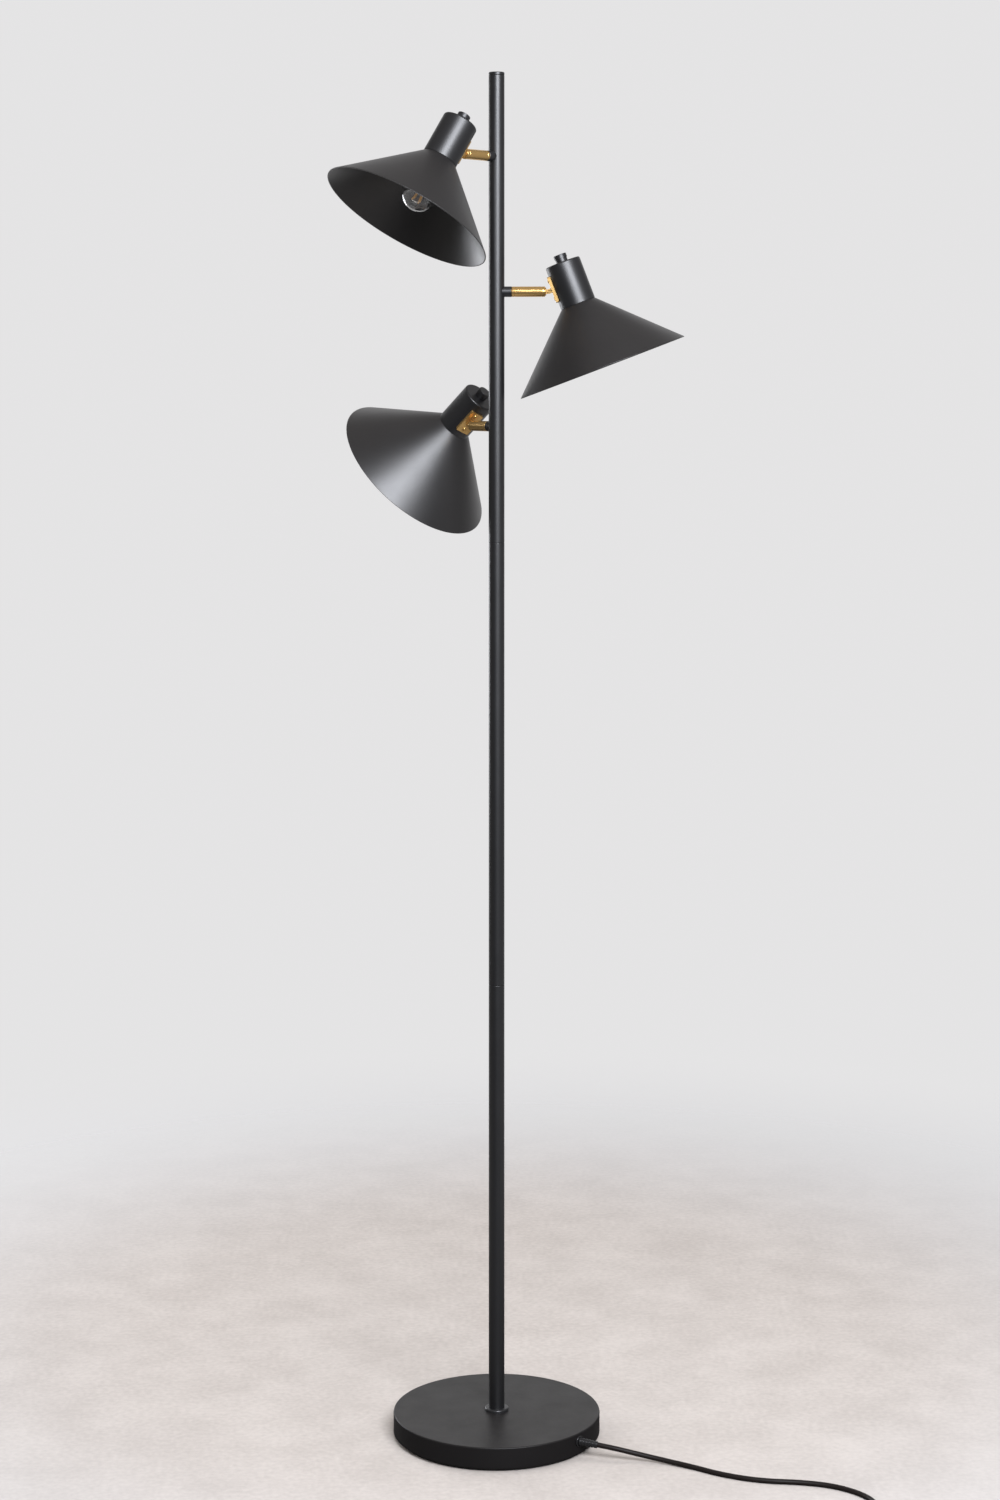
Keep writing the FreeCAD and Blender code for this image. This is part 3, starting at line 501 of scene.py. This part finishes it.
for k in (1, 2, 3):
    refinish(f"knuckle_bracket_{k}", brass_finish)
    pin = turned(f"pivot_pin_{k}", [
        (0, -ear_face - pin_dome), (rivet_flat_r, -ear_face - pin_dome), (rivet_r, -ear_face - 0.0002),
        (rivet_r, -ear_face), (pivot_r, -ear_face), (pivot_r, ear_face), (rivet_r, ear_face),
        (rivet_r, ear_face + 0.0002), (rivet_flat_r, ear_face + pin_dome), (0, ear_face + pin_dome)],
        heads[k] @ Matrix.Rotation(math.pi / 2, 4, "X"), sides=40)
    fit(pin, brass_finish, f"head_{k}", "brass", f"knuckle_pin_{k}")
    for side, level in (("lower", -screw_level), ("upper", screw_level)):
        seat = heads[k] @ Matrix.Translation((screw_face, 0, level)) @ Matrix.Rotation(-math.pi / 2, 4, "Y")
        head = screw_head(f"plate_screw_{side}_{k}", seat)
        fit(head, brass_finish, f"head_{k}", "brass", f"bracket_screws_{k}")

# Lamp cups and switch knobs
# Each cup is drawn steel in satin black, with a rounded shoulder. A rotary switch sits in its closed end,
# and the stepped knob on the switch's spindle stands proud of it.
for k in (1, 2, 3):
    refinish(f"lamp_cup_{k}", cup_finish)
    refinish(f"switch_knob_{k}", cup_finish)

# Shades
# Spun aluminium cones, coated matt black inside and out, with a turned lip at the mouth. A plastic ring
# screws up from below and clamps the neck of the shade against the cup.
cup_axis = 0.02795
neck_level, mouth_level = -0.026, -0.1085
neck_r, mouth_r, wall = 0.021, 0.105, 0.001
neck_bore = 0.0141
slope = (mouth_r - neck_r) / (neck_level - mouth_level)
wall_across = wall * math.hypot(1, slope)
shade_outline = [
    (neck_bore, neck_level), (neck_r, neck_level, 0.0006), (mouth_r, mouth_level + 0.0004, 0.0004),
    (mouth_r - 0.0003, mouth_level), (mouth_r - wall_across, mouth_level, 0.0004),
    (neck_r + slope * wall - wall_across, neck_level - wall, 0.0004), (neck_bore, neck_level - wall)]
shade_finish = finish_of("matt shade coat", (0.008, 0.0072, 0.0072), (0.011, 0.010, 0.010), (0.40, 0.44),
                         stretch=(2200, 2200, 2200), depth=0.000002, dust=0.02, drift_size=16,
                         Specular_IOR_Level=0.95)
holder_finish = finish_of("black thermoplastic", (0.016, 0.016, 0.016), (0.022, 0.022, 0.022), (0.3, 0.42),
                          depth=0.00002, dust=0.0)
rib_count, rib_height, rim_r = 40, 0.0005, 0.0188
thread_pitch, thread_height = 0.0028, 0.0005
skirt_r, skirt_bore, skirt_length, skirt_steps = 0.0139, 0.0072, 0.017, 60


def ribbed(angle, radius, height):
    """Grip ribs round the rim of the clamping ring."""
    return rib_height * math.cos(rib_count * angle) if radius > rim_r - 0.0003 else 0


def threaded(angle, radius, height):
    """Thread on the part of the lampholder that stands out below the clamping ring."""
    if radius < 0.0135 or not neck_level - 0.009 > height > neck_level - 0.0165:
        return 0
    return thread_height * math.cos(math.tau * height / thread_pitch - angle) - thread_height


skirt_outline = [(skirt_r, neck_level)]
for step in range(skirt_steps + 1):
    skirt_outline.append((skirt_r, neck_level - 0.0005 - 0.0162 * step / skirt_steps))
skirt_outline += [(0.0132, neck_level - skirt_length), (skirt_bore, neck_level - skirt_length),
                  (skirt_bore, neck_level - 0.002), (0, neck_level)]
for k in (1, 2, 3):
    on_cup = heads[k] @ Matrix.Translation((cup_axis, 0, 0))
    shade = turned(f"cone_shade_{k}", shade_outline, Matrix.Identity(4), sides=192)
    shade.data.transform(on_cup)
    fit(shade, shade_finish, f"head_{k}", "shade_paint", f"shade_{k}")
    ring = turned(f"clamping_ring_{k}", [
        (neck_bore, neck_level - wall), (rim_r, neck_level - wall), (rim_r, neck_level - 0.003, 0.0004),
        (0.0164, neck_level - 0.0034), (0.0166, neck_level - 0.008, 0.0005), (neck_bore, neck_level - 0.008)],
        on_cup, sides=160, swell=ribbed)
    fit(ring, holder_finish, f"head_{k}", "holder", f"shade_ring_{k}")
    skirt = turned(f"holder_skirt_{k}", skirt_outline, on_cup, sides=72, swell=threaded)
    fit(skirt, holder_finish, f"head_{k}", "holder")
    refinish(f"lampholder_{k}", holder_finish)
    refinish(f"switch_body_{k}", holder_finish)

# Globe bulbs
# Clear glass globes on small nickel screw bases. A glass stem inside carries four amber filament sticks,
# held by fine wires at both ends.
glass = bpy.data.materials.new("clear glass")
glass.use_nodes = True
clear = glass.node_tree.nodes["Principled BSDF"]
clear.inputs["Base Color"].default_value = (1, 1, 1, 1)
clear.inputs["Roughness"].default_value = 0.0
clear.inputs["IOR"].default_value = 1.5
clear.inputs["Transmission Weight"].default_value = 1.0
clear.inputs["Coat Weight"].default_value = 0.6
clear.inputs["Coat Roughness"].default_value = 0.02
base_low = -0.0445
stem_low = base_low - 0.016
stick_count, stick_turn, stick_r, wire_r = 4, 98, 0.0009, 0.00025
stick_top, stick_low = stem_low + 0.0024, stem_low + 0.0024 - 0.027
spread_top, spread_low = 0.0016, 0.006
# The amber sticks carry a faint emission, a painted glow, though the bulb is off.
amber_glow_finish = finish_of("amber filament", (0.46, 0.24, 0.05), (0.56, 0.32, 0.08), (0.35, 0.5),
                         stretch=(600, 600, 600), depth=0.00003, dust=0, Emission_Strength=0.10)
amber_glow_finish.node_tree.nodes["Principled BSDF"].inputs["Emission Color"].default_value = (0.75, 0.33, 0.04, 1)


def stick(work, start, end, radius, sides=16):
    """Round bar with domed ends, added to work."""
    along = Matrix.Translation(start) @ (end - start).to_track_quat("Z", "Y").to_matrix().to_4x4()
    length = (end - start).length
    levels = [(0.0, 0.0), (0.6, 0.08), (0.95, 0.5), (1.0, 1.0)]
    profile = [(radius * r, radius * z) for r, z in levels]
    profile += [(radius * r, length - radius * z) for r, z in reversed(levels)]
    angles = [math.tau * s / sides for s in range(sides)]
    rings = [[work.verts.new(along @ Vector((r * math.cos(a), r * math.sin(a), z))) for a in angles]
             for r, z in profile]
    for low, high in zip(rings, rings[1:]):
        for s in range(sides):
            work.faces.new((low[s], low[(s + 1) % sides], high[(s + 1) % sides], high[s]))


for k in (1, 2, 3):
    on_cup = heads[k] @ Matrix.Translation((cup_axis, 0, 0))
    refinish(f"bulb_glass_{k}", glass)
    refinish(f"bulb_base_{k}", plated_finish)
    stem = turned(f"glass_stem_{k}", [
        (0, base_low - 0.0005), (0.0050, base_low - 0.0005), (0.0042, base_low - 0.003),
        (0.0024, base_low - 0.007), (0.0020, stem_low + 0.003), (0.0024, stem_low + 0.0015),
        (0.0016, stem_low), (0, stem_low)], on_cup, sides=32)
    fit(stem, glass, f"head_{k}", "bulb_glass", f"bulb_filament_{k}")
    sticks, wires = bmesh.new(), bmesh.new()
    for corner in range(stick_count):
        angle = math.radians(stick_turn + 360 / stick_count * corner)
        out = Vector((math.cos(angle), math.sin(angle), 0))
        high = out * spread_top + Vector((0, 0, stick_top))
        low = out * spread_low + Vector((0, 0, stick_low))
        stick(sticks, high, low, stick_r)
        stick(wires, Vector((0, 0, stem_low + 0.0008)), high, wire_r, sides=8)
        stick(wires, low, Vector((0, 0, stick_low - 0.0015)), wire_r, sides=8)
    for bundle in (sticks, wires):
        bmesh.ops.remove_doubles(bundle, verts=bundle.verts, dist=1e-7)
        bmesh.ops.recalc_face_normals(bundle, faces=bundle.faces)
    fit(as_piece(f"filament_sticks_{k}", sticks, on_cup), amber_glow_finish, f"head_{k}", "filament")
    fit(as_piece(f"filament_wires_{k}", wires, on_cup), plated_finish, f"head_{k}", "nickel")

# Studio floor and light
# A plain warm-grey floor runs out softly into a pale background. The key softbox stands high in front, to the
# right of the pole, and a softbox low behind on the left lights the inside of the top shade. A weak fill from
# the left and one overhead only lift the shadows: neither is seen in the paint.
wall_colour = (0.78, 0.775, 0.78)
floor_radius, floor_centre_y = 2.3, 0.35
work = bmesh.new()
bmesh.ops.create_circle(work, cap_ends=True, segments=128, radius=floor_radius)
floor = as_piece("studio_floor", work, Matrix.Identity(4))
floor.location.y = floor_centre_y
floor_finish = bpy.data.materials.new("studio floor")
floor_finish.use_nodes = True
nodes, links = floor_finish.node_tree.nodes, floor_finish.node_tree.links
matt = nodes["Principled BSDF"]
matt.inputs["Roughness"].default_value = 0.85
matt.inputs["Specular IOR Level"].default_value = 0.2
# Clay tones mottle the floor near the lamp, and pale into the colour of the wall farther out.
place_on = nodes.new("ShaderNodeTexCoord")
distance = nodes.new("ShaderNodeVectorMath")
distance.operation = "LENGTH"
links.new(place_on.outputs["Object"], distance.inputs[0])
mottle = nodes.new("ShaderNodeTexNoise")
mottle.inputs["Scale"].default_value = 9
mottle.inputs["Detail"].default_value = 8
mottle.inputs["Roughness"].default_value = 0.65
links.new(place_on.outputs["Object"], mottle.inputs["Vector"])
clay = nodes.new("ShaderNodeMix")
clay.data_type = "RGBA"
clay.inputs["A"].default_value = (0.585, 0.530, 0.485, 1)
clay.inputs["B"].default_value = (0.700, 0.640, 0.590, 1)
speckle = nodes.new("ShaderNodeTexNoise")
speckle.inputs["Scale"].default_value = 140
speckle.inputs["Detail"].default_value = 3
links.new(place_on.outputs["Object"], speckle.inputs["Vector"])
worn = nodes.new("ShaderNodeMath")
worn.operation = "MULTIPLY_ADD"
worn.inputs[1].default_value = 0.7
links.new(speckle.outputs["Fac"], worn.inputs[0])
links.new(mottle.outputs["Fac"], worn.inputs[2])
spread = nodes.new("ShaderNodeMapRange")
spread.inputs["From Min"].default_value = 0.65
spread.inputs["From Max"].default_value = 1.05
links.new(worn.outputs["Value"], spread.inputs["Value"])
links.new(spread.outputs["Result"], clay.inputs["Factor"])
paling = nodes.new("ShaderNodeMapRange")
paling.interpolation_type = "SMOOTHSTEP"
paling.inputs["From Min"].default_value = 0.4
paling.inputs["From Max"].default_value = 1.5
links.new(distance.outputs["Value"], paling.inputs["Value"])
pale = nodes.new("ShaderNodeMix")
pale.data_type = "RGBA"
pale.inputs["B"].default_value = (*wall_colour, 1)
links.new(paling.outputs["Result"], pale.inputs["Factor"])
links.new(clay.outputs["Result"], pale.inputs["A"])
# Painted shade: mirrored in the glossy paint the floor is darker, most of all close by, as next to the real
# base.
mirror_shade = nodes.new("ShaderNodeMix")
mirror_shade.data_type = "RGBA"
mirror_shade.inputs["B"].default_value = (0.08, 0.075, 0.07, 1)
mirror_ray = nodes.new("ShaderNodeLightPath")
near = nodes.new("ShaderNodeMapRange")
near.inputs["From Min"].default_value = 0.4
near.inputs["From Max"].default_value = 1.3
near.inputs["To Min"].default_value = 1
near.inputs["To Max"].default_value = 0.5
links.new(mirror_ray.outputs["Ray Length"], near.inputs["Value"])
dimmed = nodes.new("ShaderNodeMath")
dimmed.operation = "MULTIPLY"
links.new(mirror_ray.outputs["Is Glossy Ray"], dimmed.inputs[0])
links.new(near.outputs["Result"], dimmed.inputs[1])
links.new(dimmed.outputs["Value"], mirror_shade.inputs["Factor"])
links.new(pale.outputs["Result"], mirror_shade.inputs["A"])
links.new(mirror_shade.outputs["Result"], matt.inputs["Base Color"])
# The disc fades out before its edge.
running_out = nodes.new("ShaderNodeMapRange")
running_out.interpolation_type = "SMOOTHSTEP"
running_out.inputs["From Min"].default_value = 0.55
running_out.inputs["From Max"].default_value = 1.6
running_out.inputs["To Min"].default_value = 1
running_out.inputs["To Max"].default_value = 0
links.new(distance.outputs["Value"], running_out.inputs["Value"])
links.new(running_out.outputs["Result"], matt.inputs["Alpha"])
floor.data.materials.append(floor_finish)

world = bpy.data.worlds.new("studio")
world.use_nodes = True
bpy.context.scene.world = world
nodes, links = world.node_tree.nodes, world.node_tree.links
nodes.clear()
# What the paint mirrors: a dark room, paler to the left, the right and overhead, with the pale wall behind.
looking = nodes.new("ShaderNodeTexCoord")
way = nodes.new("ShaderNodeSeparateXYZ")
links.new(looking.outputs["Generated"], way.inputs["Vector"])
dark_room = (0.025, 0.024, 0.025)
mirrored = None
for axis, start, end, colour in (
        ("X", -0.5, -0.95, (0.16, 0.155, 0.15)), ("X", 0.4, 0.95, (0.27, 0.265, 0.27)),
        ("Z", 0.35, 0.95, (0.27, 0.255, 0.25)), ("Y", 0.5, 0.95, wall_colour)):
    reach = nodes.new("ShaderNodeMapRange")
    reach.interpolation_type = "SMOOTHSTEP"
    reach.inputs["From Min"].default_value = start
    reach.inputs["From Max"].default_value = end
    links.new(way.outputs[axis], reach.inputs["Value"])
    zone = nodes.new("ShaderNodeMix")
    zone.data_type = "RGBA"
    zone.inputs["A"].default_value = (*dark_room, 1)
    zone.inputs["B"].default_value = (*colour, 1)
    links.new(reach.outputs["Result"], zone.inputs["Factor"])
    if mirrored:
        links.new(mirrored.outputs["Result"], zone.inputs["A"])
    mirrored = zone
# Seen directly or through glass it is the wall, and to matt surfaces it is an even, weaker light.
seen_by = nodes.new("ShaderNodeLightPath")
direct = nodes.new("ShaderNodeMath")
direct.operation = "MAXIMUM"
links.new(seen_by.outputs["Is Camera Ray"], direct.inputs[0])
links.new(seen_by.outputs["Is Transmission Ray"], direct.inputs[1])
backdrop = nodes.new("ShaderNodeBackground")
backdrop.inputs["Color"].default_value = (*wall_colour, 1)
room = nodes.new("ShaderNodeBackground")
room.inputs["Color"].default_value = (0.97, 0.97, 1.0, 1)
room.inputs["Strength"].default_value = 0.27
reflection = nodes.new("ShaderNodeBackground")
links.new(mirrored.outputs["Result"], reflection.inputs["Color"])
indirect = nodes.new("ShaderNodeMixShader")
either = nodes.new("ShaderNodeMixShader")
surface = nodes.new("ShaderNodeOutputWorld")
links.new(seen_by.outputs["Is Glossy Ray"], indirect.inputs["Fac"])
links.new(room.outputs["Background"], indirect.inputs[1])
links.new(reflection.outputs["Background"], indirect.inputs[2])
links.new(direct.outputs["Value"], either.inputs["Fac"])
links.new(indirect.outputs["Shader"], either.inputs[1])
links.new(backdrop.outputs["Background"], either.inputs[2])
links.new(either.outputs["Shader"], surface.inputs["Surface"])

aim = Vector((0, 0, 1.25))
for name, place, width, height, power, colour in (
        ("key softbox", (0.80, -2.6, 2.35), 1.8, 1.5, 146, (0.91, 0.935, 1.0)),
        ("rear softbox", (-1.9, 2.05, 1.1), 1.3, 1.3, 22, (0.93, 0.95, 1.0)),
        ("left fill", (-2.7, -0.8, 2.6), 2.0, 2.0, 12, (1.0, 0.98, 0.97)),
        ("overhead", (0.2, 0.6, 3.6), 2.4, 2.4, 34, (1.0, 0.98, 0.97))):
    lamp_data = bpy.data.lights.new(name, "AREA")
    lamp_data.shape = "RECTANGLE"
    lamp_data.size, lamp_data.size_y = width, height
    lamp_data.energy = power
    lamp_data.color = colour
    lamp = bpy.data.objects.new(name, lamp_data)
    lamp.location = place
    lamp.rotation_euler = (aim - lamp.location).to_track_quat("-Z", "Y").to_euler()
    lamp.visible_camera = False
    lamp.visible_glossy = "softbox" in name
    bpy.context.scene.collection.objects.link(lamp)

bpy.context.scene.view_settings.view_transform = "Standard"
